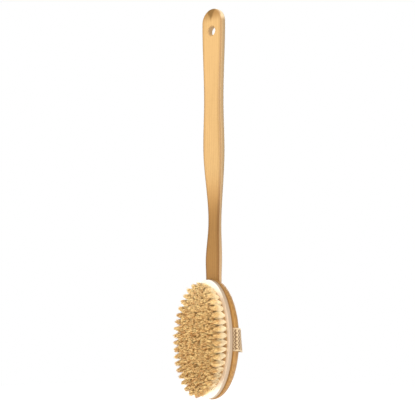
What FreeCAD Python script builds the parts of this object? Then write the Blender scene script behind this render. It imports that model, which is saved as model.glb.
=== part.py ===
import FreeCAD, Part
import math
import os

import Sketcher
from FreeCAD import Placement, Rotation, Vector

# A body dry brush: a wooden oval head with oval rows of fibre tufts, a cotton hand strap across
# its back, and a long wooden handle whose tongue plugs into a mortise in the head.
#
# Frame: millimetres, +Z up along the handle, the brush hanging from its hole. The origin is the
# centre of the hanging hole, the bristles point along -Y and the strap lies on the +Y side.

DIMENSIONS = {
    # Handle seen from the front: full widths, and how far below the hole each one lies
    "end_width": 30.7,
    "end_rise": 25.4,
    "waist_width": 25.5,
    "waist_drop": 84.0,
    "belly_width": 27.8,
    "belly_drop": 140.0,
    "neck_width": 17.5,
    "neck_drop": 220.0,
    "shoulder_width": 21.6,
    "shoulder_drop": 256.0,
    "tongue_width": 20.8,
    "tongue_length": 46.0,
    # Handle seen from the side
    "end_thickness": 7.6,
    "belly_thickness": 7.4,
    "neck_thickness": 5.6,
    "shoulder_thickness": 6.2,
    "tongue_thickness": 5.6,
    "neck_set_back": 1.5,
    "handle_edge_radius": 2.5,
    "tongue_end_radius": 4.0,
    "hole_diameter": 10.0,
    "hole_bevel": 1.0,
    # Head block
    "block_width": 72.8,
    "block_length": 128.8,
    "block_front": 5.4,
    "block_back": 7.5,
    "block_back_radius": 11.0,
    "block_front_radius": 1.5,
    "head_drop": 339.5,
    "mortise_clearance": 0.3,
    "mortise_spare_depth": 2.0,
    # Bristle board
    "board_width": 67.2,
    "board_length": 127.0,
    "board_thickness": 5.5,
    "board_edge_radius": 1.0,
    # Tufts, their rows and the holes they are set in
    "tuft_length": 20.0,
    "tuft_root_diameter": 3.0,
    "tuft_straight": 0.6,
    "tuft_widest_diameter": 6.2,
    "tuft_widest_at": 13.5,
    "tuft_tip_diameter": 1.4,
    "tuft_set_depth": 4.0,
    "tuft_clearance": 0.05,
    "tuft_pitch": 7.0,
    "row_spacing": 6.8,
    "row_side_inset": 5.0,
    "row_end_inset": 9.0,
    "outer_row_lean": 12.0,
    # Anchors in the feet of the tufts
    "anchor_length": 4.2,
    "anchor_height": 1.4,
    "anchor_thickness": 0.4,
    "anchor_rise": 0.8,
    # Hand strap and the staples in its tails
    "strap_width": 24.4,
    "strap_thickness": 1.6,
    "strap_drop": 0.4,
    "strap_tail": 12.0,
    "strap_side_gap": 0.8,
    "strap_wrap_angle": 42.0,
    "recess_clearance": 0.1,
    "staple_crown": 9.0,
    "staple_wire": 0.8,
    "staple_leg": 4.5,
    "staple_spacing": 12.4,
}
ROW_COUNT = 5

doc = FreeCAD.newDocument("body_dry_brush")


def make_sheet():
    sheet = doc.addObject("Spreadsheet::Sheet", "Dimensions")
    for row, (name, value) in enumerate(DIMENSIONS.items(), start=1):
        sheet.set(f"A{row}", name)
        sheet.set(f"B{row}", str(value))
        sheet.setAlias(f"B{row}", name)
    doc.recompute()
    return sheet


SHEET = make_sheet()


def size(name):
    return float(SHEET.get(name))


def bind(feature, prop, formula):
    """Bind a property to a formula in which each driving dimension stands in braces."""
    feature.setExpression(prop, formula.replace("{", "Dimensions.").replace("}", ""))


# ------------------------------------------------------------------ sketches and features


def new_body(name):
    body = doc.addObject("PartDesign::Body", name)
    body.Label = name
    return body


def new_sketch(body, name, plane_role, offset=None):
    """A sketch on one of the body's origin planes, moved off it by a formula per own axis."""
    sketch = body.newObject("Sketcher::SketchObject", name)
    plane = next(p for p in body.Origin.OriginFeatures if p.Role == plane_role)
    sketch.AttachmentSupport = [(plane, "")]
    sketch.MapMode = "FlatFace"
    for axis, formula in (offset or {}).items():
        bind(sketch, f"AttachmentOffset.Base.{axis}", formula)
    return sketch


def add_feature(body, kind, name, sketch, **settings):
    feature = body.newObject(f"PartDesign::{kind}", name)
    feature.Profile = sketch
    for prop, value in settings.items():
        setattr(feature, prop, value)
    return feature


def add_edge_feature(body, kind, name, base, prop, formula, wanted):
    """A fillet or chamfer on the edges of the base feature that the test function picks."""
    doc.recompute()
    edges = [f"Edge{i}" for i, edge in enumerate(base.Shape.Edges, start=1) if wanted(edge)]
    feature = body.newObject(f"PartDesign::{kind}", name)
    feature.Base = (base, edges)
    bind(feature, prop, formula)
    return feature


def lies_at(edge, axis, value):
    """Whether the whole edge lies in the plane where one coordinate has this value."""
    low = getattr(edge.BoundBox, f"{axis}Min")
    high = getattr(edge.BoundBox, f"{axis}Max")
    return abs(low - value) < 0.01 and abs(high - value) < 0.01


def runs_along(edge, axis):
    """Whether the edge is a straight one, parallel to this axis."""
    spans = {a: getattr(edge.BoundBox, f"{a}Length") for a in "XYZ"}
    return spans.pop(axis) > 0.01 and max(spans.values()) < 0.01


def is_oval(edge):
    return edge.Curve.TypeId == "Part::GeomEllipse"


def check_removed(before, after, expected):
    """Stop unless a cut took about this volume away; a wrong cut shows no error of its own."""
    removed = before.Shape.Volume - after.Shape.Volume
    if abs(removed - expected) > 0.1 * expected:
        raise ValueError(f"{after.Label} removed {removed:.0f} mm3, not {expected:.0f}")


def add_lines(sketch, corners):
    for start, end in zip(corners, corners[1:]):
        sketch.addGeometry(Part.LineSegment(start, end), False)


def add_smooth_curve(sketch, points):
    """A smooth curve through the points that starts and ends parallel to the sketch's Y axis."""
    down = Vector(0, -1, 0)
    curve = Part.BSplineCurve()
    curve.interpolate(Points=points, InitialTangent=down, FinalTangent=down)
    sketch.addGeometry(curve, False)


def add_rectangle(sketch, width, height):
    """A rectangle round the sketch's origin, its sides bound to two formulas."""
    corners = [Vector(-1, -1, 0), Vector(1, -1, 0), Vector(1, 1, 0), Vector(-1, 1, 0)]
    add_lines(sketch, corners + corners[:1])
    for side in range(4):
        sketch.addConstraint(Sketcher.Constraint("Coincident", side, 2, (side + 1) % 4, 1))
        direction = "Vertical" if side % 2 else "Horizontal"
        sketch.addConstraint(Sketcher.Constraint(direction, side))
    sketch.addConstraint(Sketcher.Constraint("Symmetric", 0, 1, 1, 2, -1, 1))
    for side, formula in ((0, width), (1, height)):
        index = sketch.addConstraint(Sketcher.Constraint("Distance", side, 2.0))
        bind(sketch, f"Constraints[{index}]", formula)


def add_circle(sketch, diameter):
    """A circle round the sketch's origin, its diameter bound to a formula."""
    sketch.addGeometry(Part.Circle(Vector(0, 0, 0), Vector(0, 0, 1), 5.0), False)
    sketch.addConstraint(Sketcher.Constraint("Coincident", 0, 3, -1, 1))
    index = sketch.addConstraint(Sketcher.Constraint("Diameter", 0, 10.0))
    bind(sketch, f"Constraints[{index}]", diameter)


def add_upright_ellipse(sketch, width, length):
    """An ellipse round the sketch's origin, its axes bound to two formulas, the long one upright."""
    long_end = Vector(0, 60, 0)
    short_end = Vector(30, 0, 0)
    sketch.addGeometry(Part.Ellipse(long_end, short_end, Vector(0, 0, 0)), False)
    sketch.exposeInternalGeometry(0)
    long_axis, short_axis = 1, 2
    sketch.addConstraint(Sketcher.Constraint("Coincident", 0, 3, -1, 1))
    sketch.addConstraint(Sketcher.Constraint("Vertical", long_axis))
    for axis, formula, start in ((long_axis, length, 120.0), (short_axis, width, 60.0)):
        index = sketch.addConstraint(Sketcher.Constraint("Distance", axis, start))
        bind(sketch, f"Constraints[{index}]", formula)


# ------------------------------------------------------------------------------- handle


def mouth_height():
    """Where the handle enters the top of the head."""
    return size("block_length") / 2 - size("head_drop")


def tongue_end_height():
    return mouth_height() - size("tongue_length")


def draw_handle_outline(sketch):
    """The front view: a round end, a long waisted and bellied side, and a straight tongue."""
    end_radius = size("end_width") / 2
    end_centre = Vector(0, size("end_rise") - end_radius, 0)
    side = [Vector(end_radius, end_centre.y, 0)]
    for place in ("waist", "belly", "neck", "shoulder"):
        side.append(Vector(size(f"{place}_width") / 2, -size(f"{place}_drop"), 0))
    side.append(Vector(size("tongue_width") / 2, mouth_height(), 0))
    mirrored = [Vector(-point.x, point.y, 0) for point in side]
    add_smooth_curve(sketch, side)
    add_smooth_curve(sketch, mirrored)
    end_circle = Part.Circle(end_centre, Vector(0, 0, 1), end_radius)
    sketch.addGeometry(Part.ArcOfCircle(end_circle, 0, math.pi), False)
    tongue_right = Vector(side[-1].x, tongue_end_height(), 0)
    tongue_left = Vector(mirrored[-1].x, tongue_end_height(), 0)
    add_lines(sketch, [side[-1], tongue_right, tongue_left, mirrored[-1]])


def draw_handle_waste(sketch, stock):
    """The side view: what is sawn off the front and off the back of a plank of this thickness."""
    above = size("end_rise") + 1
    below = tongue_end_height() - 1
    stations = [
        (-size("waist_drop"), 0, size("end_thickness")),
        (-size("belly_drop"), size("neck_set_back") / 5, size("belly_thickness")),
        (-size("neck_drop"), size("neck_set_back"), size("neck_thickness")),
        (-size("shoulder_drop"), 0, size("shoulder_thickness")),
        (mouth_height(), 0, size("tongue_thickness")),
    ]
    for facing in (-1, 1):
        face = [Vector(centre + facing * thick / 2, z, 0) for z, centre, thick in stations]
        outside = facing * (stock / 2 + 1)
        add_smooth_curve(sketch, face)
        upper = [face[0], Vector(face[0].x, above, 0), Vector(outside, above, 0)]
        lower = [Vector(outside, below, 0), Vector(face[-1].x, below, 0), face[-1]]
        add_lines(sketch, upper + lower)


def is_long_handle_edge(edge):
    """Whether the edge follows the rim of the handle's front or back face."""
    across = edge.BoundBox.YLength > size("neck_set_back") + 2
    return not across


def make_handle():
    body = new_body("handle")
    stock = size("end_thickness") * 2
    outline = new_sketch(body, "handle_outline", "XZ_Plane")
    draw_handle_outline(outline)
    plank = add_feature(body, "Pad", "handle_plank", outline, SideType="Symmetric")
    bind(plank, "Length", "{end_thickness} * 2")
    side_view = new_sketch(body, "handle_side_view", "YZ_Plane")
    draw_handle_waste(side_view, stock)
    sawn = add_feature(
        body, "Pocket", "handle_sawn", side_view, Type="ThroughAll", SideType="Symmetric"
    )
    foot = tongue_end_height()
    rounded = add_edge_feature(
        body, "Fillet", "tongue_end_rounding", sawn, "Radius", "{tongue_end_radius}",
        lambda edge: runs_along(edge, "Y") and lies_at(edge, "Z", foot),
    )
    softened = add_edge_feature(
        body, "Fillet", "handle_edges", rounded, "Radius", "{handle_edge_radius}",
        is_long_handle_edge,
    )
    hole_place = new_sketch(body, "hanging_hole_place", "XZ_Plane")
    add_circle(hole_place, "{hole_diameter}")
    hole = add_feature(
        body, "Pocket", "hanging_hole", hole_place, Type="ThroughAll", SideType="Symmetric"
    )
    doc.recompute()
    hole_area = math.pi * size("hole_diameter") ** 2 / 4
    check_removed(softened, hole, hole_area * size("end_thickness"))
    reach = size("hole_diameter") / 2 + 0.1
    add_edge_feature(
        body, "Chamfer", "hole_bevels", hole, "Size", "{hole_bevel}",
        lambda edge: edge.BoundBox.YLength < 0.01
        and edge.BoundBox.ZMax < reach
        and edge.BoundBox.ZMin > -reach,
    )
    return body


# --------------------------------------------------------------------------------- head


def make_block_blank():
    """The oval block: a domed back, a mortise from the top and a recess for each strap tail."""
    body = new_body("head_block_blank")
    front = -size("block_front")
    outline = new_sketch(
        body, "block_outline", "XZ_Plane", {"y": "-{head_drop}", "z": "{block_front}"}
    )
    add_upright_ellipse(outline, "{block_width}", "{block_length}")
    slab = add_feature(body, "Pad", "block_slab", outline, Reversed=True)
    bind(slab, "Length", "{block_front} + {block_back}")
    domed = add_edge_feature(
        body, "Fillet", "block_back_dome", slab, "Radius", "{block_back_radius}",
        lambda edge: lies_at(edge, "Y", size("block_back")),
    )
    mouth = new_sketch(
        body, "mortise_mouth", "XY_Plane", {"z": "{block_length} / 2 - {head_drop}"}
    )
    add_rectangle(
        mouth,
        "{tongue_width} + 2 * {mortise_clearance}",
        "{tongue_thickness} + 2 * {mortise_clearance}",
    )
    mortise = add_feature(body, "Pocket", "mortise", mouth)
    bind(mortise, "Length", "{tongue_length} + {mortise_spare_depth}")
    middle = mouth_height() - size("tongue_length") / 2
    corners = add_edge_feature(
        body, "Fillet", "mortise_corners", mortise, "Radius",
        "{handle_edge_radius} + {mortise_clearance}",
        lambda edge: runs_along(edge, "Z") and edge.BoundBox.ZMin < middle,
    )
    recess = new_sketch(
        body, "strap_recess_place", "XZ_Plane",
        {"x": "{block_width} / 2", "y": "-{head_drop} - {strap_drop}", "z": "{block_front}"},
    )
    add_rectangle(recess, "2 * {strap_tail}", "{strap_width} + 2 * {recess_clearance}")
    cut = add_feature(body, "Pocket", "strap_recess", recess)
    bind(cut, "Length", "{strap_thickness} + {recess_clearance}")
    doc.recompute()
    mortise_volume = mortise.Length.Value
    for side in ("width", "thickness"):
        mortise_volume *= size(f"tongue_{side}") + 2 * size("mortise_clearance")
    check_removed(domed, corners, mortise_volume)
    check_removed(corners, cut, size("strap_tail") * size("strap_width") * cut.Length.Value)
    mirrored = body.newObject("PartDesign::Mirrored", "strap_recesses")
    mirrored.Originals = [cut]
    side_plane = next(p for p in body.Origin.OriginFeatures if p.Role == "YZ_Plane")
    mirrored.MirrorPlane = (side_plane, [""])
    body.Tip = mirrored
    add_edge_feature(
        body, "Fillet", "block_front_easing", mirrored, "Radius", "{block_front_radius}",
        lambda edge: lies_at(edge, "Y", front) and is_oval(edge),
    )
    return body


def make_board_blank():
    body = new_body("bristle_board_blank")
    outline = new_sketch(
        body, "board_outline", "XZ_Plane", {"y": "-{head_drop}", "z": "{block_front}"}
    )
    add_upright_ellipse(outline, "{board_width}", "{board_length}")
    slab = add_feature(body, "Pad", "board_slab", outline)
    bind(slab, "Length", "{board_thickness}")
    front = -size("block_front") - size("board_thickness")
    add_edge_feature(
        body, "Fillet", "board_front_easing", slab, "Radius", "{board_edge_radius}",
        lambda edge: lies_at(edge, "Y", front),
    )
    return body


# ------------------------------------------------------------------- tufts and anchors


def draw_tuft_half(sketch):
    """Half a tuft: a straight root, a sheaf that widens upward and a short blunt point."""
    foot = -size("tuft_set_depth")
    root = size("tuft_root_diameter") / 2
    profile = [
        Vector(0, foot, 0),
        Vector(root, foot, 0),
        Vector(root, size("tuft_straight"), 0),
        Vector(size("tuft_widest_diameter") / 2, size("tuft_widest_at"), 0),
        Vector(size("tuft_tip_diameter") / 2, size("tuft_length"), 0),
        Vector(0, size("tuft_length"), 0),
    ]
    add_lines(sketch, profile + profile[:1])


def make_tuft():
    """One tuft standing on the board's face at z = 0, with the window its anchor goes through."""
    body = new_body("tuft_pattern")
    half = new_sketch(body, "tuft_half", "XZ_Plane")
    draw_tuft_half(half)
    sheaf = add_feature(body, "Revolution", "tuft_sheaf", half)
    sheaf.ReferenceAxis = (half, ["V_Axis"])
    sheaf.Angle = 360
    window = new_sketch(
        body, "anchor_window_place", "YZ_Plane",
        {"y": "{anchor_rise} + {anchor_height} / 2 - {tuft_set_depth}"},
    )
    add_rectangle(window, "{anchor_thickness}", "{anchor_height}")
    add_feature(
        body, "Pocket", "anchor_window", window, Type="ThroughAll", SideType="Symmetric"
    )
    return body


def make_anchor():
    """The flat wire that holds the fold of one tuft, lying across it and biting into the wood."""
    body = new_body("anchor_pattern")
    face = new_sketch(
        body, "anchor_face", "YZ_Plane",
        {"y": "{anchor_rise} + {anchor_height} / 2 - {tuft_set_depth}"},
    )
    add_rectangle(face, "{anchor_thickness}", "{anchor_height}")
    wire = add_feature(body, "Pad", "anchor_wire", face, SideType="Symmetric")
    bind(wire, "Length", "{anchor_length}")
    return body


def make_socket(anchor):
    """The wood removed for one tuft: a blind hole and the two bites of its anchor."""
    hole = doc.addObject("Part::Cylinder", "tuft_hole")
    bind(hole, "Radius", "{tuft_root_diameter} / 2 + {tuft_clearance}")
    bind(hole, "Height", "{tuft_set_depth} + {tuft_clearance} + 2 * {tuft_straight}")
    bind(hole, "Placement.Base.z", "-{tuft_set_depth} - {tuft_clearance}")
    socket = doc.addObject("Part::Fuse", "tuft_socket")
    socket.Base = hole
    socket.Tool = anchor
    return socket


def tuft_placement(x, z, outward, lean):
    """Stand a tuft on the board at (x, z), leaning outward, its anchor along the row."""
    along = Vector(-outward.z, 0, outward.x)
    tilt = math.radians(lean)
    direction = Vector(0, -math.cos(tilt), 0) + outward * math.sin(tilt)
    turn = Rotation(along, Vector(0, 0, 0), direction, "ZXY")
    face = -size("block_front") - size("board_thickness")
    return Placement(Vector(x, face, z - size("head_drop")), turn)


def oval_row(half_width, half_length, lean):
    """Tufts evenly spaced round an oval."""
    oval = Part.Ellipse(Vector(0, half_length, 0), Vector(half_width, 0, 0), Vector(0, 0, 0))
    edge = oval.toShape()
    count = round(edge.Length / size("tuft_pitch"))
    places = []
    for point in edge.discretize(Number=count + 1)[:-1]:
        outward = Vector(point.x / half_width**2, 0, point.y / half_length**2).normalize()
        places.append(tuft_placement(point.x, point.y, outward, lean))
    return places


def straight_row(half_length):
    """Upright tufts evenly spaced along the middle, clear of the ends of the oval round them."""
    half_length -= size("tuft_widest_diameter")
    gaps = round(2 * half_length / size("tuft_pitch"))
    step = 2 * half_length / gaps
    sideways = Vector(1, 0, 0)
    return [tuft_placement(0, i * step - half_length, sideways, 0) for i in range(gaps + 1)]


def tuft_rows():
    """The places of the tufts, one list per row, from the rim of the board to its middle."""
    rows = []
    for row in range(ROW_COUNT):
        inward = row * size("row_spacing")
        half_width = size("board_width") / 2 - size("row_side_inset") - inward
        half_length = size("board_length") / 2 - size("row_end_inset") - inward
        lean = size("outer_row_lean") * (1 - row / (ROW_COUNT - 1))
        if half_width < size("tuft_pitch") / 2:
            rows.append(straight_row(half_length))
        else:
            rows.append(oval_row(half_width, half_length, lean))
    return rows


def make_copies(name, pattern, places):
    """One object that holds a separate copy of the pattern's solid at each place."""
    copies = []
    for place in places:
        solid = pattern.Shape.copy()
        solid.Placement = place.multiply(solid.Placement)
        copies.append(solid)
    group = doc.addObject("Part::Feature", name)
    group.Label = name
    group.Shape = Part.makeCompound(copies)
    return group


def cut_away(name, blank, tool):
    """The blank with the tool's shape removed; the tool itself stays."""
    cut = doc.addObject("Part::Cut", name)
    cut.Label = name
    cut.Base = blank
    cut.Tool = tool
    return cut


# ----------------------------------------------------------------- strap and staples


def draw_strap_face(sketch, offset):
    """One face of the webbing, this far outside its middle line, from tail to tail.

    Each tail lies flat in its recess, turns back round the block's front corner, follows the
    domed edge at a small gap and then leaves it in one wide arch over the hand.
    """
    wrap = math.radians(size("strap_wrap_angle"))
    dome_radius = size("block_back_radius")
    dome_x = size("block_width") / 2 - dome_radius
    dome_y = size("block_back") - dome_radius
    wrap_radius = dome_radius + size("strap_side_gap") + size("strap_thickness") / 2
    tail_y = size("strap_thickness") / 2 - size("block_front")
    bend_radius = dome_y - tail_y
    bend_x = dome_x + wrap_radius - bend_radius
    tail_x = size("block_width") / 2 - size("strap_tail")
    arch_y = dome_y - dome_x * math.tan(wrap)
    arch_radius = wrap_radius + dome_x / math.cos(wrap)
    quarter = math.pi / 2
    for side in (1, -1):
        tail = [Vector(side * tail_x, tail_y - offset, 0), Vector(side * bend_x, tail_y - offset, 0)]
        add_lines(sketch, tail)
        add_arc(sketch, side * bend_x, dome_y, bend_radius + offset, side, -quarter, 0)
        add_arc(sketch, side * dome_x, dome_y, wrap_radius + offset, side, 0, wrap)
    add_arc(sketch, 0, arch_y, arch_radius + offset, 1, wrap, math.pi - wrap)
    return tail_x, tail_y


def add_arc(sketch, x, y, radius, side, start, end):
    """An arc between two angles from the X axis, mirrored left to right when side is -1."""
    if side < 0:
        start, end = math.pi - end, math.pi - start
    circle = Part.Circle(Vector(x, y, 0), Vector(0, 0, 1), radius)
    sketch.addGeometry(Part.ArcOfCircle(circle, start, end), False)


def make_strap_blank():
    body = new_body("hand_strap_blank")
    profile = new_sketch(body, "strap_profile", "XY_Plane", {"z": "-{head_drop} - {strap_drop}"})
    half = size("strap_thickness") / 2
    draw_strap_face(profile, half)
    tail_x, tail_y = draw_strap_face(profile, -half)
    for x in (tail_x, -tail_x):
        add_lines(profile, [Vector(x, tail_y - half, 0), Vector(x, tail_y + half, 0)])
    webbing = add_feature(body, "Pad", "webbing", profile, SideType="Symmetric")
    bind(webbing, "Length", "{strap_width}")
    return body


def make_staple():
    """One staple: its crown upright in the plane y = 0, its two legs pointing along +Y."""
    body = new_body("staple_pattern")
    outline = new_sketch(body, "staple_outline", "YZ_Plane")
    outer = size("staple_crown") / 2
    inner = outer - size("staple_wire")
    wire = size("staple_wire")
    leg = size("staple_leg")
    corners = [
        Vector(0, -outer, 0), Vector(leg, -outer, 0), Vector(leg, -inner, 0),
        Vector(wire, -inner, 0), Vector(wire, inner, 0), Vector(leg, inner, 0),
        Vector(leg, outer, 0), Vector(0, outer, 0),
    ]
    add_lines(outline, corners + corners[:1])
    bent = add_feature(body, "Pad", "staple_wire", outline, SideType="Symmetric")
    bind(bent, "Length", "{staple_wire}")
    return body


def staple_places():
    x = size("block_width") / 2 - size("strap_tail") / 2
    middle = -size("head_drop") - size("strap_drop")
    above = size("staple_spacing") / 2
    return [
        Placement(Vector(side * x, -size("block_front"), middle + rise), Rotation())
        for side in (-1, 1)
        for rise in (-above, above)
    ]


# ----------------------------------------------------------------------------- assembly


def make_nodes():
    handle = make_handle()
    block_blank = make_block_blank()
    board_blank = make_board_blank()
    tuft = make_tuft()
    anchor = make_anchor()
    socket = make_socket(anchor)
    strap_blank = make_strap_blank()
    staple = make_staple()
    doc.recompute()
    rows = tuft_rows()
    nodes = [handle]
    for number, places in enumerate(rows, start=1):
        nodes.append(make_copies(f"bristle_ring_{number}", tuft, places))
        nodes.append(make_copies(f"tuft_anchors_ring_{number}", anchor, places))
    sockets = make_copies("tuft_sockets", socket, sum(rows, []))
    staples = make_copies("strap_staples", staple, staple_places())
    nodes.append(staples)
    nodes.append(cut_away("bristle_board", board_blank, sockets))
    nodes.append(cut_away("head_block", block_blank, staples))
    nodes.append(cut_away("hand_strap", strap_blank, staples))
    doc.recompute()
    return nodes


def check_document():
    for item in doc.Objects:
        if {"Invalid", "Error"} & set(item.State):
            raise ValueError(f"{item.Label} did not build: {item.State}")


def write_nodes(nodes):
    os.makedirs("parts", exist_ok=True)
    for node in nodes:
        if node.Shape.isNull() or not node.Shape.isValid():
            raise ValueError(f"{node.Label} has no valid shape")
        node.Shape.exportStep(f"parts/{node.Label}.step")
        count = len(node.Shape.Solids)
        print(f"{node.Label}: {count} solids, {node.Shape.Volume / 1000:.2f} cm3")


NODES = make_nodes()
check_document()
write_nodes(NODES)
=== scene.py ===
import math

import bpy
import numpy as np
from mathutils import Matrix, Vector


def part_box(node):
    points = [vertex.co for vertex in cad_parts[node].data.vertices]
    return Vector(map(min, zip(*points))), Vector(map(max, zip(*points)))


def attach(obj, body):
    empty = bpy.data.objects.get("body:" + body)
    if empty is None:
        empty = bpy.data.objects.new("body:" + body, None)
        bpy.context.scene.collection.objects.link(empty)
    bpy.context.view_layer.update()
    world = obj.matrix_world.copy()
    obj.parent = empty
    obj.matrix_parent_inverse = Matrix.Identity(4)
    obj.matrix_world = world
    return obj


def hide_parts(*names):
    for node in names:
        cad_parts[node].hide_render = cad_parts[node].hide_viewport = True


# The looks of a body dry brush. The frame is in metres, with +Z up along the handle: the bristles
# point along -Y, the strap lies on the +Y side and the origin is the centre of the hanging hole.

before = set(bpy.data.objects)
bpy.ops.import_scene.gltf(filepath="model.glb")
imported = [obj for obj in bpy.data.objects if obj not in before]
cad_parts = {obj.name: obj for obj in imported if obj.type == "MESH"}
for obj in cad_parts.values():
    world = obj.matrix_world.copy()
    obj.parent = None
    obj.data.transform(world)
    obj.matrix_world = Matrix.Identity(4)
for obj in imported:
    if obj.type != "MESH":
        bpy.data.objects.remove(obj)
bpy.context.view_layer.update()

HANDLE_LOW, HANDLE_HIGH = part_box("handle")
BLOCK_LOW, BLOCK_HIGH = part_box("head_block")
BOARD_LOW, BOARD_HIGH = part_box("bristle_board")
STRAP_LOW, STRAP_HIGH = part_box("hand_strap")
HEAD_Z = (BLOCK_LOW.z + BLOCK_HIGH.z) / 2
MM = 0.001
RINGS = [name for name in sorted(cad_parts) if name.startswith("bristle_ring")]
ANCHORS = [name for name in sorted(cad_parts) if name.startswith("tuft_anchors")]


# ------------------------------------------------------------------------------- camera


def make_camera():
    """A long lens to the right of the bristle side and a little below the head."""
    azimuth = math.radians(44.4)
    climb = math.radians(6.3)
    distance = 1.2017
    aim_aside, aim_z = -0.0069, -0.197
    right = Vector((math.cos(azimuth), math.sin(azimuth), 0))
    target = right * aim_aside + Vector((0, 0, aim_z))
    forward = Vector(
        (-math.sin(azimuth) * math.cos(climb), math.cos(azimuth) * math.cos(climb), math.sin(climb))
    )
    data = bpy.data.cameras.new("camera")
    data.sensor_width = 36
    data.lens = 95.4
    data.clip_start = 0.05
    camera = bpy.data.objects.new("camera", data)
    bpy.context.scene.collection.objects.link(camera)
    camera.location = target - forward * distance
    camera.rotation_euler = forward.to_track_quat("-Z", "Y").to_euler()
    bpy.context.scene.camera = camera


# ---------------------------------------------------------------------------- materials


class Shader:
    """A material's node tree, with short calls that add a node and wire its inputs."""

    def __init__(self, name):
        self.material = bpy.data.materials.new(name)
        self.material.use_nodes = True
        self.nodes = self.material.node_tree.nodes
        self.links = self.material.node_tree.links
        self.surface = self.nodes["Principled BSDF"]

    def put(self, socket, value):
        if isinstance(value, bpy.types.NodeSocket):
            self.links.new(value, socket)
        else:
            socket.default_value = value

    def add(self, kind, inputs, **settings):
        node = self.nodes.new(kind)
        for prop, value in settings.items():
            setattr(node, prop, value)
        for key, value in inputs.items():
            self.put(node.inputs[key], value)
        return node

    def calc(self, operation, *values):
        inputs = dict(enumerate(values))
        return self.add("ShaderNodeMath", inputs, operation=operation).outputs[0]

    def times(self, first, second):
        """The product of two numbers or sockets."""
        return self.calc("MULTIPLY", first, second)

    def place(self, scale):
        """The object's own coordinates, in metres, stretched per axis."""
        coordinates = self.add("ShaderNodeTexCoord", {}).outputs["Object"]
        return self.add("ShaderNodeMapping", {"Vector": coordinates, "Scale": scale}).outputs[0]

    def axis(self, letter):
        place = self.add("ShaderNodeTexCoord", {}).outputs["Object"]
        return self.add("ShaderNodeSeparateXYZ", {0: place}).outputs[letter]

    def facing(self, letter):
        """How squarely the surface faces along one of the object's own axes, from 0 to 1."""
        normal = self.add("ShaderNodeTexCoord", {}).outputs["Normal"]
        part = self.add("ShaderNodeSeparateXYZ", {0: normal}).outputs[letter]
        return self.calc("ABSOLUTE", part)

    def oval(self, half_width, half_length, middle_z):
        """A number that is 1 on the rim of an upright oval, less inside it and more outside."""
        across = self.calc("DIVIDE", self.axis("X"), half_width)
        height = self.calc("SUBTRACT", self.axis("Z"), middle_z)
        along = self.calc("DIVIDE", height, half_length)
        return self.calc("MULTIPLY_ADD", across, across, self.times(along, along))

    def noise(self, vector, scale, detail=3.0, roughness=0.5):
        inputs = {"Vector": vector, "Scale": scale, "Detail": detail, "Roughness": roughness}
        return self.add("ShaderNodeTexNoise", inputs).outputs["Fac"]

    def span(self, value, low, high, to_low=0.0, to_high=1.0):
        """The value's place between low and high, eased at both ends and clamped."""
        inputs = {0: value, 1: low, 2: high, 3: to_low, 4: to_high}
        settings = {"interpolation_type": "SMOOTHSTEP"}
        return self.add("ShaderNodeMapRange", inputs, **settings).outputs[0]

    def blend(self, share, first, second, mode="MIX"):
        node = self.add("ShaderNodeMix", {}, data_type="RGBA", blend_type=mode)
        self.put(node.inputs[0], share)
        self.put(node.inputs[6], first)
        self.put(node.inputs[7], second)
        return node.outputs[2]

    def tint(self, share, base, factors):
        """The base colour times a factor for each of red, green and blue, in this share."""
        return self.blend(share, base, (*factors, 1), "MULTIPLY")

    def bump(self, height, strength, distance):
        inputs = {"Height": height, "Strength": strength, "Distance": distance}
        return self.add("ShaderNodeBump", inputs).outputs[0]

    def finish(self, **values):
        for name, value in values.items():
            self.put(self.surface.inputs[name.replace("_", " ")], value)
        return self.material


def colour(red, green, blue):
    """A display colour from 0 to 255 as the linear colour that a shader takes."""
    linear = []
    for part in (red, green, blue):
        share = part / 255
        linear.append(share / 12.92 if share <= 0.04045 else ((share + 0.055) / 1.055) ** 2.4)
    return (*linear, 1.0)


def shade(tone, factor):
    """A linear colour times one factor, still opaque."""
    return [part * factor for part in tone[:3]] + [1.0]


def add_grain(shader, light, dark, seed):
    """Straight-grained wood along Z: growth bands, fine fibres and short dark flecks.

    The seed varies how the bands drift from one piece of wood to the next."""
    drift = shader.noise(shader.place((14 + seed, 14, 3)), 1.0)
    across = shader.calc("ADD", shader.axis("X"), shader.times(drift, 0.02))
    bands = shader.calc("SINE", shader.times(across, 2600.0))
    fibres = shader.noise(shader.place((1500, 1500, 26)), 1.0, 4.0, 0.6)
    flecks = shader.noise(shader.place((2600, 2600, 320)), 1.0, 1.0)
    cloud = shader.noise(shader.place((30, 30, 8)), 1.0)
    tone = shader.calc("ADD", shader.times(bands, 0.13), fibres)
    tone = shader.calc("ADD", tone, shader.times(cloud, 0.5))
    base = shader.blend(shader.span(tone, 0.45, 1.05), dark, light)
    fleck_share = shader.span(flecks, 0.66, 0.76, 0.0, 0.45)
    return shader.blend(fleck_share, base, shade(dark, 0.5)), fibres


def finish_wood(shader, wood, fibres, relief, smooth, rough, **gloss):
    """Sanded wood, whose fibres show in its relief and in its roughness."""
    bump = shader.bump(fibres, relief, 0.2 * MM)
    roughness = shader.span(fibres, 0.2, 0.8, smooth, rough)
    return shader.finish(Base_Color=wood, Roughness=roughness, Normal=bump, **gloss)


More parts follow.
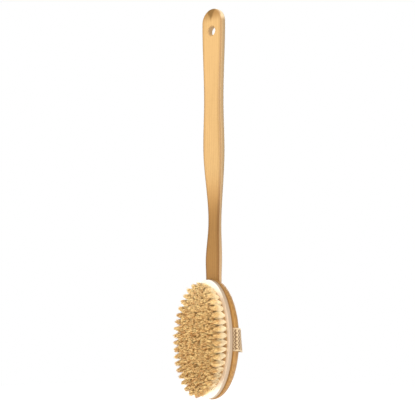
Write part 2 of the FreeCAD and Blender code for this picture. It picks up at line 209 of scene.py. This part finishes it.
def add_end_mark(shader, wood):
    """Darker patches in the front face: a dusky rounded end, and a wedge down from it."""
    foot, aside, flare, ragged = 11.0 * MM, 1.0 * MM, 0.6, 3.5 * MM
    wander = shader.times(shader.noise(shader.place((260, 260, 110)), 1.0), ragged)
    rise = shader.calc("SUBTRACT", shader.axis("Z"), foot)
    reach = shader.calc("SUBTRACT", shader.times(rise, flare), wander)
    off_middle = shader.calc("ABSOLUTE", shader.calc("ADD", shader.axis("X"), aside))
    inside = shader.calc("SUBTRACT", reach, off_middle)
    behind = shader.calc("SUBTRACT", shader.axis("Y"), HANDLE_LOW.y)
    on_face = shader.span(behind, 1.0 * MM, 2.5 * MM, 1.0, 0.0)
    wedge = shader.times(shader.span(inside, -2.4 * MM, 1.4 * MM, 0.0, 0.9), on_face)
    dusk = shader.times(shader.span(shader.axis("Z"), 9 * MM, 20 * MM, 0.0, 0.8), on_face)
    wood = shader.blend(dusk, wood, colour(116, 82, 36))
    return shader.blend(wedge, wood, colour(92, 64, 20))


# The handle's height above its hanging hole and its width there, in mm, from its rounded end down
# by its waist, belly and neck to its shoulder.
HANDLE_WIDTHS = ((0, 30.7), (-84, 25.5), (-140, 27.8), (-220, 17.5), (-256, 21.6))
# Between these heights the handle's tone changes to that of its lower end: painted shade, darker
# and browner, and a stronger painted light on its narrow sides.
NECK_SHADE_SPAN = (-210 * MM, -150 * MM)


def handle_half_width(shader):
    """Half the handle's width at each height, so that the painted shade of the margins can follow
    its outline.
    """
    half_width = HANDLE_WIDTHS[0][1] / 2 * MM
    for (upper, before), (lower, after) in zip(HANDLE_WIDTHS, HANDLE_WIDTHS[1:]):
        whole_change = (after - before) / 2 * MM
        change = shader.span(shader.axis("Z"), lower * MM, upper * MM, whole_change, 0.0)
        half_width = shader.calc("ADD", half_width, change)
    return half_width


def add_handle_painted_shade(shader, wood):
    """Painted shade that browns the roundings and margins of the faces, and painted light that
    makes the narrow sides paler, most of all low down, and the rounded end's rim paler.
    """
    # Painted shade on the roundings, where the surface turns away from the light.
    squareness = shader.facing("Y")
    rounding = shader.times(shader.span(squareness, 0.9, 0.99, 0.6, 0.0),
                            shader.span(squareness, 0.0, 0.4, 0.2, 1.0))
    wood = shader.tint(rounding, wood, (0.68, 0.57, 0.38))
    # Painted shade in a band along each margin of the face, as on a face rounded across.
    off_middle = shader.calc("ABSOLUTE", shader.axis("X"))
    inward = shader.calc("SUBTRACT", handle_half_width(shader), off_middle)
    margin_shade = shader.span(inward, 1.5 * MM, 5.5 * MM, 0.6, 0.0)
    wood = shader.tint(margin_shade, wood, (0.62, 0.56, 0.46))
    # Painted light on the narrow sides, stronger towards the lower end.
    side = shader.times(shader.span(squareness, 0.3, 0.85, 0.4, 0.0),
                        shader.span(shader.axis("Z"), *NECK_SHADE_SPAN, 1.0, 0.7))
    wood = shader.blend(side, wood, colour(214, 186, 146))
    # Painted light on the walls of the rounded end.
    end_painted_light = shader.times(shader.span(squareness, 0.6, 0.98, 0.8, 0.0),
                           shader.span(shader.axis("Z"), 10 * MM, 16 * MM))
    return shader.blend(end_painted_light, wood, colour(226, 200, 160))


def make_handle_wood():
    """Honey-coloured wood, with painted shade that makes it darker and browner down at the neck."""
    shader = Shader("handle_wood")
    wood, fibres = add_grain(shader, colour(162, 129, 82), colour(149, 117, 71), 0)
    # Painted shade: below these heights the wood is tinted darker and browner, as where less light
    # falls.
    low = shader.span(shader.axis("Z"), *NECK_SHADE_SPAN, 1.0, 0.0)
    wood = shader.tint(low, wood, (1.0, 0.82, 0.56))
    wood = add_end_mark(shader, add_handle_painted_shade(shader, wood))
    return finish_wood(shader, wood, fibres, 0.12, 0.5, 0.62, Coat_Weight=0.05,
                       Coat_Roughness=0.35, Specular_IOR_Level=0.3)


def make_block_wood():
    """Darker brown wood with a thin matt lacquer."""
    shader = Shader("block_wood")
    wood, fibres = add_grain(shader, colour(156, 113, 54), colour(132, 92, 39), 7)
    return finish_wood(shader, wood, fibres, 0.12, 0.45, 0.58, Coat_Weight=0.05,
                       Coat_Roughness=0.35, Specular_IOR_Level=0.35)


def make_board_wood():
    """A sanded face, with painted light that makes it palest at both ends and painted shade that
    browns it among the tufts, a sawn edge painted darker as shade, and a dark painted shade line at
    the back joint.
    """
    shader = Shader("board_wood")
    face, fibres = add_grain(shader, colour(204, 182, 156), colour(188, 164, 136), 13)
    half_width, half_length = BOARD_HIGH.x, (BOARD_HIGH.z - BOARD_LOW.z) / 2
    off_middle = shader.calc("ABSOLUTE", shader.calc("SUBTRACT", shader.axis("Z"), HEAD_Z))
    # Painted light: the face turns paler towards both ends.
    ends = shader.span(off_middle, half_length - 24 * MM, half_length - 6 * MM)
    face = shader.blend(ends, face, colour(255, 246, 230))
    # Painted shade: the face is browned inside the oval of tufts, as their warm shade.
    tuft_shade = shader.oval(half_width - 2.5 * MM, half_length - 5.5 * MM, HEAD_Z)
    face = shader.blend(shader.span(tuft_shade, 0.86, 1.0, 1.0, 0.0), face, colour(198, 152, 98))
    # Painted shade: the edge wall is darker than the face, as a side that faces away from the
    # light.
    edge = shader.blend(fibres, colour(150, 130, 107), colour(168, 147, 123))
    behind = shader.calc("SUBTRACT", shader.axis("Y"), BOARD_LOW.y)
    wood = shader.blend(shader.span(behind, 0.2 * MM, 1.0 * MM), face, edge)
    thickness = BOARD_HIGH.y - BOARD_LOW.y
    # Painted shade: a dark brown line along the back edge, where the board meets the block.
    joint_shade = shader.span(behind, thickness - 1.4 * MM, thickness - 0.5 * MM, 0.0, 0.85)
    wood = shader.blend(joint_shade, wood, colour(112, 76, 38))
    # Painted shade on the edge's rounding, where the light would leave a highlight.
    squareness = shader.facing("Y")
    rounding = shader.times(shader.span(squareness, 0.1, 0.5, 0.0, 0.7),
                            shader.span(squareness, 0.8, 0.99, 1.0, 0.0))
    wood = shader.tint(rounding, wood, (0.55, 0.52, 0.5))
    return finish_wood(shader, wood, fibres, 0.15, 0.55, 0.7)


def make_wire(name, tint):
    """Drawn wire: faint lengthwise scratches in tone and polish."""
    shader = Shader(name)
    lines = shader.noise(shader.place((900, 900, 60)), 1.0, 4.0)
    metal = shader.blend(shader.span(lines, 0.3, 0.7), shade(tint, 0.6), tint)
    roughness = shader.span(lines, 0.3, 0.7, 0.25, 0.5)
    return shader.finish(Base_Color=metal, Roughness=roughness, Metallic=1.0)


def make_fibre():
    """Plant fibre: straw tones that differ by strand, tanned at the tips, with painted shade that
    browns the deep parts between tufts.

    Painted light makes the rim's flanks and the tufts nearest the handle paler."""
    shader = Shader("plant_fibre")
    tone, height, deep_shade_share = (
        shader.add("ShaderNodeAttribute", {}, attribute_name=name).outputs["Fac"]
        for name in ("tone", "height", "deep_shade_share")
    )
    streaks = shader.noise(shader.place((900, 260, 900)), 1.0)
    pale = shader.blend(tone, colour(226, 186, 124), colour(255, 238, 196))
    tan = shader.blend(tone, colour(184, 125, 56), colour(255, 226, 156))
    straw = shader.blend(shader.span(height, 0.45, 0.9), pale, tan)
    # Painted light: the lower flanks of the rim's tufts are paler, as lit from the side.
    outer = shader.calc("SUBTRACT", 1.0, deep_shade_share)
    flank_light = shader.times(shader.span(height, 0.5, 0.95, 0.6, 0.0), outer)
    straw = shader.blend(flank_light, straw, colour(255, 240, 205))
    # Painted light: the tufts towards the handle turn paler.
    top = shader.span(shader.axis("Z"), HEAD_Z + 20 * MM, HEAD_Z + 60 * MM, 0.0, 0.45)
    straw = shader.blend(top, straw, colour(255, 230, 172))
    # Painted shade: the deep parts of the inner rows are browned, as the shade between tufts.
    root_shade = shader.times(shader.span(height, 0.35, 0.85, 0.85, 0.0), deep_shade_share)
    straw = shader.blend(root_shade, straw, colour(150, 96, 40))
    fibre = shader.blend(shader.span(streaks, 0.45, 0.8, 0.0, 0.2), straw, colour(170, 118, 60))
    roughness = shader.span(streaks, 0.2, 0.8, 0.42, 0.6)
    return shader.finish(Base_Color=fibre, Roughness=roughness)


def make_webbing():
    """Cotton webbing: cream warp cords, brown weft and cream edge cords, with a fuzzy sheen."""
    shader = Shader("cotton_webbing")
    weft = shader.add("ShaderNodeAttribute", {}, attribute_name="weft").outputs["Fac"]
    crown = shader.add("ShaderNodeAttribute", {}, attribute_name="crown").outputs["Fac"]
    fuzz = shader.noise(shader.place((2200, 2200, 2200)), 1.0, 4.0, 0.7)
    cream = shader.blend(fuzz, colour(174, 148, 110), colour(206, 182, 145))
    brown = shader.blend(fuzz, colour(82, 50, 6), colour(112, 74, 16))
    yarn = shader.blend(weft, cream, brown)
    shadowed = shader.tint(1.0, yarn, (0.5, 0.42, 0.34))
    yarn = shader.blend(shader.span(crown, 0.0, 0.6), shadowed, yarn)
    bump = shader.bump(fuzz, 0.35, 0.2 * MM)
    roughness = shader.span(fuzz, 0.2, 0.8, 0.75, 0.95)
    return shader.finish(Base_Color=yarn, Roughness=roughness, Normal=bump, Sheen_Weight=0.25,
                         Sheen_Roughness=0.5)


def paint(names, material):
    """Gives CAD nodes, which keep their shapes, a material."""
    for name in names:
        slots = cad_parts[name].data.materials
        slots.clear()
        slots.append(material)


# ------------------------------------------------------------------------------- pieces


def make_piece(name, points, faces, material, body):
    """A smooth-shaded mesh that rides on a body."""
    mesh = bpy.data.meshes.new(name)
    mesh.from_pydata(points, [], faces)
    mesh.polygons.foreach_set("use_smooth", [True] * len(mesh.polygons))
    mesh.materials.append(material)
    piece = bpy.data.objects.new(name, mesh)
    bpy.context.scene.collection.objects.link(piece)
    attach(piece, body)
    return piece


def add_values(piece, name, values):
    """One number per vertex that the piece's material reads."""
    layer = piece.data.attributes.new(name, "FLOAT", "POINT")
    layer.data.foreach_set("value", np.asarray(values, np.float32))


# ----------------------------------------------------------------------------- bristles


def find_islands(mesh):
    """The vertices of each connected stretch of a mesh, as arrays of points."""
    count = len(mesh.vertices)
    points = np.zeros(count * 3)
    mesh.vertices.foreach_get("co", points)
    points = points.reshape(-1, 3)
    _, same = np.unique(np.round(points, 6), axis=0, return_inverse=True)
    parent = list(range(same.max() + 1))

    def root(item):
        while parent[item] != item:
            parent[item] = parent[parent[item]]
            item = parent[item]
        return item

    same = same.ravel()
    for edge in mesh.edges:
        first, second = (root(same[v]) for v in edge.vertices)
        parent[first] = second
    groups = {}
    for vertex in range(count):
        groups.setdefault(root(same[vertex]), []).append(vertex)
    return [points[members] for members in groups.values()]


def find_tuft(points):
    """Where a tuft's axis leaves the board, its direction and how far it stands out."""
    centre = points.mean(axis=0)
    spread = np.linalg.svd(points - centre, full_matrices=False)[2]
    direction = spread[0] * -np.sign(spread[0][1])
    along = (points - centre) @ direction
    root = centre + direction * ((BOARD_LOW.y - centre[1]) / direction[1])
    length = along.max() - (root - centre) @ direction
    return root, direction, length


LOCKS = 36
LOCK_STRANDS = 4
STRANDS = LOCKS * LOCK_STRANDS
STRAND_SHARES = np.array((0, 0.08, 0.55, 0.8, 1))
STRAND_POINTS = len(STRAND_SHARES)
STRAND_SIDES = 3
GOLDEN_TURN = math.pi * (3 - math.sqrt(5))

# How deep in its hole a strand starts.
SUNK = 1.5 * MM
# The fibres' tips have taken a set, up near the handle and down at the far end. Between the two
# ends it changes by this much, and it is nil at this share of the way down the head.
FIBRE_SET = 5.1 * MM
SET_MIDDLE = 0.42

# A tuft's shape in mm: its radius along its row, its radius outward from the middle of the head,
# and how far it is shifted inward, each at its root, belly, shoulder and tip, and how far its locks
# stray at the tip. The rounding is the share by which its outermost locks are shorter.
# A tuft on the rim ends in a blade: narrow along the row, and wide towards the row inside it.
RIM_TUFT = {"along": (1.2, 3.4, 2.6, 0.7), "out": (1.2, 2.8, 3.1, 3.1),
            "inward": (0, 0.3, 1.1, 2.1), "stray": 0.5, "rounding": 0.04}
INNER_TUFT = {"along": (1.2, 3.5, 3.8, 3.9), "out": (1.2, 3.5, 3.8, 3.9),
              "inward": (0, 0, 0, 0), "stray": 1.4, "rounding": 0.12}
# How much painted shade browns the deep parts of a row's tufts, by row from the rim; 1 from row 3
# on.
DEEP_SHADE = {1: 0.0, 2: 0.6}


def along_tuft(root, belly, shoulder, tip):
    """Lengths in mm at four heights, as one in metres per point of a strand.

    A strand's first two points are both at its root."""
    return np.array((root, root, belly, shoulder, tip)) * MM


def scatter(count, random):
    """Evenly spread places in a disc of radius 1, turned by a random angle."""
    place = np.arange(count)
    reach = np.sqrt((place + 0.5) / count)
    angle = place * GOLDEN_TURN + random.random() * 2 * math.pi
    return np.stack([np.cos(angle) * reach, np.sin(angle) * reach], axis=1)


def domed_trim(height):
    """The share of their length that fibres rooted at this height are cut to."""
    crown_z, crown_share, fall = HEAD_Z - 22 * MM, 1.04, 0.3
    off_crown = (height - crown_z) / (BLOCK_HIGH.z - crown_z)
    return crown_share - fall * off_crown**2


def row_axes(direction):
    """Two axes square to a tuft: along its row, and outward from the middle of the head."""
    outward = direction * (1, 0, 1)
    if np.linalg.norm(outward) < 0.01:
        outward = np.array((1.0, 0, 0))
    along = np.cross(outward, direction)
    along /= np.linalg.norm(along)
    return along, np.cross(direction, along)


def place_locks(shape, random):
    """Each lock's place off its tuft's axis at each share of its height: along the row, outward.

    Also returns how far out in the tuft each lock is, from 0 to 1."""
    places = scatter(LOCKS, random)
    radii = np.stack([along_tuft(*shape["along"]), along_tuft(*shape["out"])], axis=1)
    stray = random.normal(0, shape["stray"] * MM, (LOCKS, 2))
    middle = places[:, None, :] * radii
    middle[:, :, 1] -= along_tuft(*shape["inward"])
    middle += stray[:, None, :] * (STRAND_SHARES**2)[None, :, None]
    return middle, np.linalg.norm(places, axis=1)


def lay_strands(root, direction, length, shape, random):
    """The middle lines of one tuft's strands, gathered in locks: strands by points by axes.

    Also returns two axes square to the tuft."""
    along, outward = row_axes(direction)
    lock_radius = along_tuft(0.15, 0.6, 0.45, 0.3)
    bow_spread, curl_spread = 0.35 * MM, 0.55 * MM
    uneven_locks, uneven_strands = 0.12, 0.07
    middle, from_middle = place_locks(shape, random)
    lock_reach = 1 - shape["rounding"] * from_middle**2 - uneven_locks * random.random(LOCKS)
    flat, reach = [], []
    for lock in range(LOCKS):
        spread = scatter(LOCK_STRANDS, random)[:, None, :] * lock_radius[None, :, None]
        bow = random.normal(0, bow_spread, (LOCK_STRANDS, 1, 2))
        curl = random.normal(0, curl_spread, (LOCK_STRANDS, 1, 2))
        bend = bow * np.sin(STRAND_SHARES * math.pi)[None, :, None]
        bend = bend + curl * (STRAND_SHARES**3)[None, :, None]
        flat.append(middle[lock] + spread + bend)
        reach.append(length * (lock_reach[lock] - uneven_strands * random.random(LOCK_STRANDS)))
    flat = np.concatenate(flat)
    reach = np.concatenate(reach) * domed_trim(root[2])
    depth = -SUNK + (reach[:, None] + SUNK) * STRAND_SHARES[None, :]
    lines = root + depth[:, :, None] * direction
    lines = lines + flat[:, :, :1] * along + flat[:, :, 1:] * outward
    down_head = (BLOCK_HIGH.z - root[2]) / (BLOCK_HIGH.z - BLOCK_LOW.z)
    lines[:, :, 2] -= FIBRE_SET * (down_head - SET_MIDDLE) * STRAND_SHARES**2
    return lines, along, outward


def skin_strands(lines, side, up, random):
    """The points of thin tapered tubes round the middle lines."""
    thick = random.uniform(0.17, 0.25, len(lines)) * MM
    taper = np.linspace(1.0, 0.55, STRAND_POINTS)
    turn = np.arange(STRAND_SIDES) * 2 * math.pi / STRAND_SIDES
    ring = np.cos(turn)[:, None] * side + np.sin(turn)[:, None] * up
    radius = thick[:, None] * taper[None, :]
    return lines[:, :, None, :] + radius[:, :, None, None] * ring[None, None, :, :]


def strand_faces(count):
    """The faces of all strands, for vertices numbered by strand, then point, then side.

    Each strand is a tube, closed at both ends."""
    faces = []
    for strand in range(count):
        start = strand * STRAND_POINTS * STRAND_SIDES
        for level in range(STRAND_POINTS - 1):
            low = start + level * STRAND_SIDES
            for corner in range(STRAND_SIDES):
                after = (corner + 1) % STRAND_SIDES
                faces.append((low + corner, low + after, low + STRAND_SIDES + after,
                              low + STRAND_SIDES + corner))
        faces.append(tuple(start + corner for corner in reversed(range(STRAND_SIDES))))
        top = start + (STRAND_POINTS - 1) * STRAND_SIDES
        faces.append(tuple(top + corner for corner in range(STRAND_SIDES)))
    return faces


def make_bristles(node, material, row):
    """One row of tufts, each a sheaf of separate strands. Row 1 is the rim."""
    random = np.random.default_rng(row)
    shape = RIM_TUFT if row == 1 else INNER_TUFT
    points, tones, heights = [], [], []
    for island in find_islands(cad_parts[node].data):
        root, direction, length = find_tuft(island)
        lines, side, up = lay_strands(root, direction, length, shape, random)
        points.append(skin_strands(lines, side, up, random).reshape(-1, 3))
        lock_tone = np.repeat(random.normal(0.5, 0.36, LOCKS), LOCK_STRANDS)
        tone = np.clip(random.normal(lock_tone, 0.15), 0, 1)
        tones.append(np.repeat(tone, STRAND_POINTS * STRAND_SIDES))
        heights.append(np.tile(np.repeat(STRAND_SHARES, STRAND_SIDES), len(lines)))
    faces = strand_faces(len(points) * STRANDS)
    points = np.concatenate(points)
    name = node.replace("bristle_ring", "fibre_tufts")
    piece = make_piece(name, points.tolist(), faces, material, "head")
    add_values(piece, "tone", np.concatenate(tones))
    add_values(piece, "height", np.concatenate(heights))
    add_values(piece, "deep_shade_share", np.full(len(points), DEEP_SHADE.get(row, 1.0)))
    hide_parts(node)


# -------------------------------------------------------------------------------- strap

DOME_RADIUS = 11.0 * MM
WEBBING_THICKNESS = 1.6 * MM
WRAP_ANGLE = math.radians(42)
TAIL_LENGTH = 12.0 * MM
WEBBING_WIDTH = STRAP_HIGH.z - STRAP_LOW.z


def strap_line():
    """Half of the webbing's middle line, seen from above.

    It gives the free end of the right tail, and the arcs from there to the top of the arch, each as
    (x, y, radius, start, end)."""
    half = WEBBING_THICKNESS / 2
    dome_x = BLOCK_HIGH.x - DOME_RADIUS
    dome_y = BLOCK_HIGH.y - DOME_RADIUS
    tail_y = BLOCK_LOW.y + half
    bend_radius = dome_y - tail_y
    wrap_radius = STRAP_HIGH.x - half - dome_x
    bend_x = dome_x + wrap_radius - bend_radius
    arch_y = dome_y - dome_x * math.tan(WRAP_ANGLE)
    arch_radius = wrap_radius + dome_x / math.cos(WRAP_ANGLE)
    tail_x = BLOCK_HIGH.x - TAIL_LENGTH
    quarter = math.pi / 2
    arcs = [
        (bend_x, dome_y, bend_radius, -quarter, 0),
        (dome_x, dome_y, wrap_radius, 0, WRAP_ANGLE),
        (0, arch_y, arch_radius, WRAP_ANGLE, quarter),
    ]
    return tail_x, tail_y, arcs


def strap_point(distance):
    """The middle line's point and outward direction, this far from the end of the right tail."""
    tail_x, tail_y, arcs = strap_line()
    bend_x = arcs[0][0]
    if distance <= bend_x - tail_x:
        return tail_x + distance, tail_y, 0.0, -1.0
    distance -= bend_x - tail_x
    for x, y, radius, start, end in arcs:
        if distance <= radius * (end - start) or end == math.pi / 2:
            angle = start + distance / radius
            return (x + radius * math.cos(angle), y + radius * math.sin(angle),
                    math.cos(angle), math.sin(angle))
        distance -= radius * (end - start)


def strap_half_length():
    """The middle line's length from the end of a tail to the top of the arch."""
    tail_x, _, arcs = strap_line()
    return arcs[0][0] - tail_x + sum(radius * (end - start) for _, _, radius, start, end in arcs)


YARN = 1.02 * MM
SAMPLES_PER_YARN = 4
RELIEF = 0.35 * MM
# The twill repeats every 4 yarns, half of them weft, and turns back every 2 rows.
TWILL, TURN_ROWS = 4, 2
EDGE_YARNS = 1.5


def weave(along, across):
    """How high a yarn stands at this place, from 0 to 1, and whether it is a weft yarn."""
    column, row = math.floor(along / YARN), math.floor(across / YARN)
    in_column = along / YARN - column - 0.5
    in_row = across / YARN - row - 0.5
    if min(across, WEBBING_WIDTH - across) < YARN * EDGE_YARNS:
        crown = math.cos(math.pi * in_row) ** 0.6 * (0.8 + 0.2 * math.cos(math.pi * in_column))
        return crown, False
    zigzag = abs(row % (2 * TURN_ROWS) - TURN_ROWS)
    weft = (column + zigzag) % TWILL < TWILL / 2
    width, length = (in_column, in_row) if weft else (in_row, in_column)
    crown = math.cos(math.pi * width) ** 0.6 * (0.45 + 0.55 * math.cos(math.pi * length))
    return crown, weft


def strap_points(columns, rows):
    """The points of the outer face, then the inner one, by column and row, with yarn and height.

    Past its tails, the webbing leans off the block at its lower edge and sags a little."""
    half_length = strap_half_length()
    core = WEBBING_THICKNESS / 2 - RELIEF
    settle_length, sag, edge_share = 14 * MM, 1.6 * MM, 0.35
    lean_low, lean_fall = 1.3 * MM, 2.3 * MM
    points, wefts, crowns = [], [], []
    for facing in (1, -1):
        for column in range(columns + 1):
            distance = 2 * half_length * column / columns
            from_end = min(distance, 2 * half_length - distance)
            x, y, out_x, out_y = strap_point(from_end)
            if distance > half_length:
                x, out_x = -x, -out_x
            free = min(max((from_end - TAIL_LENGTH) / settle_length, 0), 1) ** 2
            for row in range(rows + 1):
                across = WEBBING_WIDTH * row / rows
                crown, weft = weave(distance, across if facing > 0 else across + YARN)
                half_thickness = core + RELIEF * crown
                if row in (0, rows):
                    half_thickness = core * edge_share
                lean = free * (lean_low - lean_fall * row / rows)
                lift = lean + facing * half_thickness
                z = STRAP_LOW.z + across - sag * free
                points.append((x + out_x * lift, y + out_y * lift, z))
                wefts.append(1.0 if weft else 0.0)
                crowns.append(crown)
    return points, wefts, crowns


def strap_faces(columns, rows):
    """The quads of both faces, of the two long edges and of the two ends."""
    layer = (columns + 1) * (rows + 1)
    faces = []
    for column in range(columns):
        for row in range(rows):
            a = column * (rows + 1) + row
            b = a + rows + 1
            faces.append((a, a + 1, b + 1, b))
            faces.append((layer + a, layer + b, layer + b + 1, layer + a + 1))
        for row in (0, rows):
            a = column * (rows + 1) + row
            b = a + rows + 1
            side = (a, b, layer + b, layer + a)
            faces.append(side if row == 0 else side[::-1])
    for row in range(rows):
        for column in (0, columns):
            a = column * (rows + 1) + row
            side = (a, layer + a, layer + a + 1, a + 1)
            faces.append(side if column == 0 else side[::-1])
    return faces


def make_strap(material):
    """Woven webbing: two faces of over-and-under yarns, joined round its edges and ends."""
    half_length = strap_half_length()
    columns = round(2 * half_length / YARN * SAMPLES_PER_YARN)
    rows = round(WEBBING_WIDTH / YARN * SAMPLES_PER_YARN)
    points, wefts, crowns = strap_points(columns, rows)
    piece = make_piece("webbing_strap", points, strap_faces(columns, rows), material, "head")
    add_values(piece, "weft", wefts)
    add_values(piece, "crown", crowns)
    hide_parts("hand_strap")


# ------------------------------------------------------------------------------- studio


def make_floor():
    """A pale floor well below the hanging brush."""
    shader = Shader("studio_paper")
    mottle = shader.noise(shader.place((3, 3, 3)), 1.0)
    paper = shader.blend(mottle, colour(250, 250, 250), colour(255, 255, 255))
    material = shader.finish(Base_Color=paper, Roughness=0.9, Emission_Color=paper,
                             Emission_Strength=0.55)
    floor_z, reach = BLOCK_LOW.z - 0.35, 6.0
    mesh = bpy.data.meshes.new("studio_floor")
    corners = [(-reach, -reach), (reach, -reach), (reach, reach), (-reach, reach)]
    mesh.from_pydata([(x, y, floor_z) for x, y in corners], [], [(0, 1, 2, 3)])
    mesh.materials.append(material)
    floor = bpy.data.objects.new("studio_floor", mesh)
    bpy.context.scene.collection.objects.link(floor)


def add_softbox(name, azimuth, height, distance, width, length, power):
    """A rectangular light that faces the middle of the brush from this side and height."""
    middle = Vector((0, 0, (HANDLE_HIGH.z + BLOCK_LOW.z) / 2))
    angle = math.radians(azimuth)
    away = Vector((math.sin(angle), -math.cos(angle), 0)) * distance
    data = bpy.data.lights.new(name, "AREA")
    data.shape = "RECTANGLE"
    data.size = width
    data.size_y = length
    data.energy = power
    light = bpy.data.objects.new(name, data)
    bpy.context.scene.collection.objects.link(light)
    light.location = middle + away + Vector((0, 0, height))
    light.rotation_euler = (middle - light.location).to_track_quat("-Z", "Y").to_euler()


def make_world():
    """White for the camera, and a softer grey light from all round for everything else."""
    world = bpy.data.worlds.new("studio_world")
    world.use_nodes = True
    bpy.context.scene.world = world
    nodes, links = world.node_tree.nodes, world.node_tree.links
    surround = nodes["Background"]
    surround.inputs["Color"].default_value = (1, 1, 1, 1)
    surround.inputs["Strength"].default_value = 0.65
    backdrop = nodes.new("ShaderNodeBackground")
    backdrop.inputs["Color"].default_value = (1, 1, 1, 1)
    backdrop.inputs["Strength"].default_value = 1.0
    seen = nodes.new("ShaderNodeLightPath")
    chooser = nodes.new("ShaderNodeMixShader")
    links.new(seen.outputs["Is Camera Ray"], chooser.inputs[0])
    links.new(surround.outputs[0], chooser.inputs[1])
    links.new(backdrop.outputs[0], chooser.inputs[2])
    links.new(chooser.outputs[0], nodes["World Output"].inputs["Surface"])


SPOT_DISTANCE = 1.6


def add_spot(name, aim_z, azimuth, height, radius, blend, power, softness):
    """A spot that lights a disc of this radius round a point on the handle's line."""
    angle = math.radians(azimuth)
    aim = Vector((0, 0, aim_z))
    data = bpy.data.lights.new(name, "SPOT")
    data.spot_size = 2 * math.atan(radius / SPOT_DISTANCE)
    data.spot_blend = blend
    data.energy = power
    data.shadow_soft_size = softness
    light = bpy.data.objects.new(name, data)
    bpy.context.scene.collection.objects.link(light)
    away = Vector((math.sin(angle), -math.cos(angle), 0)) * SPOT_DISTANCE
    light.location = aim + away + Vector((0, 0, height))
    light.rotation_euler = (aim - light.location).to_track_quat("-Z", "Y").to_euler()


def make_studio():
    """Soft light from above, the side and behind, and two spots that bring out wood and fibre."""
    make_world()
    make_floor()
    add_softbox("top", azimuth=20, height=1.5, distance=0.9, width=0.9, length=0.9, power=20)
    add_softbox("edge", azimuth=100, height=-0.45, distance=1.6, width=0.6, length=0.8, power=5)
    add_softbox("back", azimuth=205, height=0.5, distance=1.6, width=0.9, length=0.9, power=13)
    add_spot("handle_light", HANDLE_HIGH.z - 75 * MM, azimuth=14, height=0.1, radius=0.16,
             blend=0.55, power=145, softness=0.02)
    add_spot("head_light", HEAD_Z + 2 * MM, azimuth=58, height=-0.15, radius=0.105,
             blend=0.35, power=74, softness=0.06)
    bpy.context.scene.view_settings.view_transform = "Standard"


make_camera()
make_studio()
paint(["handle"], make_handle_wood())
paint(["head_block"], make_block_wood())
paint(["bristle_board"], make_board_wood())
paint(ANCHORS, make_wire("anchor_wire", (0.62, 0.55, 0.38, 1)))
paint(["strap_staples"], make_wire("staple_wire", (0.7, 0.7, 0.68, 1)))
fibre = make_fibre()
for row, ring in enumerate(RINGS, start=1):
    make_bristles(ring, fibre, row)
make_strap(make_webbing())
